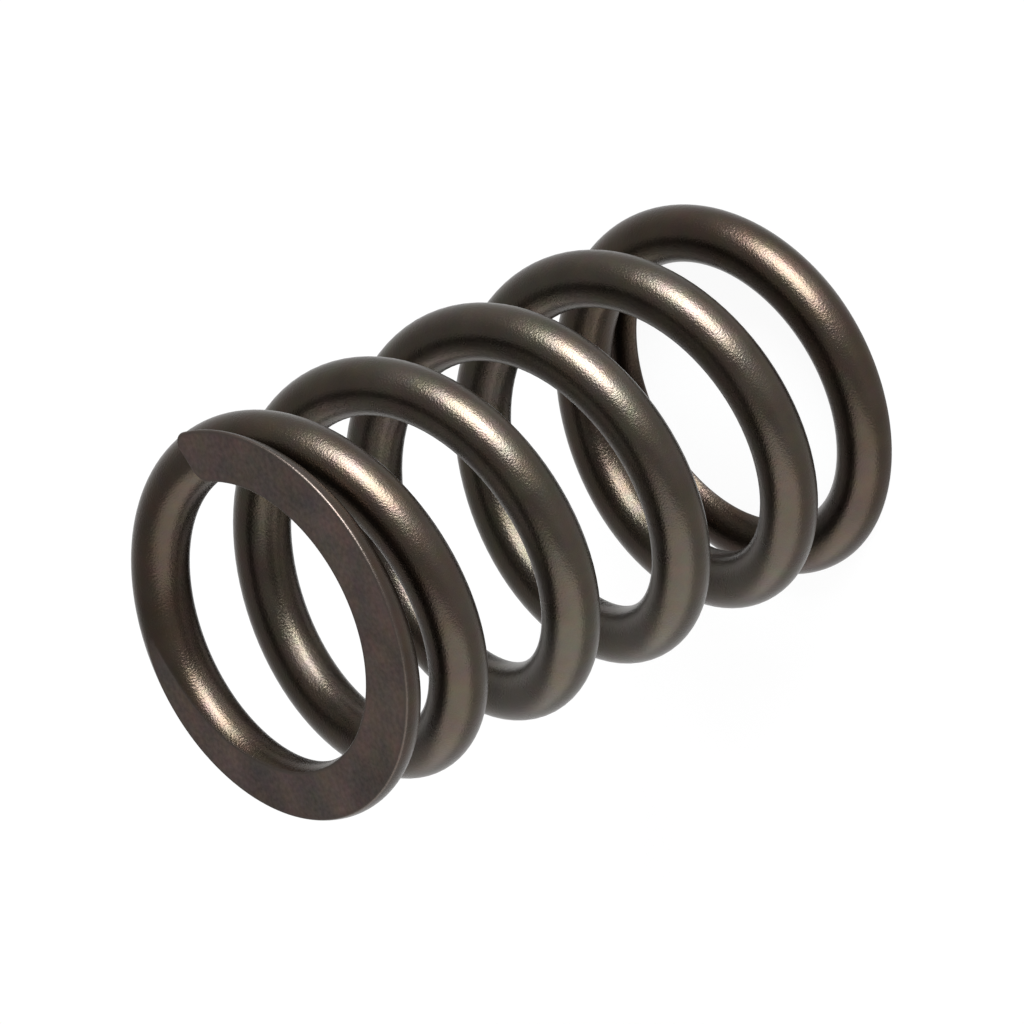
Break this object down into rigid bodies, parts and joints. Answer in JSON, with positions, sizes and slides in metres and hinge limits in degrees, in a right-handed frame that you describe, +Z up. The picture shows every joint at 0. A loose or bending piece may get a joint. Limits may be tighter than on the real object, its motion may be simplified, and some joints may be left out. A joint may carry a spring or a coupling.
{
  "type": "engine valve spring",
  "caption": "Helical compression spring of round wire with closed and ground ends, which holds an engine's valve on its seat.",
  "frame": {"origin": "on the axis of the coil, in the plane of the lower ground face, so that the spring stands on the floor", "axes": "+Z up the axis of the coil to the upper ground face, +X towards the upper tip of the wire"},
  "size_m": [0.0319, 0.0318, 0.0532],
  "materials": {
    "spring_steel": "dark bronze-brown satin, oil tempered and shot peened, ground ends matte"
  },
  "bodies": {
    "root": {"spring_coil": "spring_steel"}
  },
  "joints": []
}
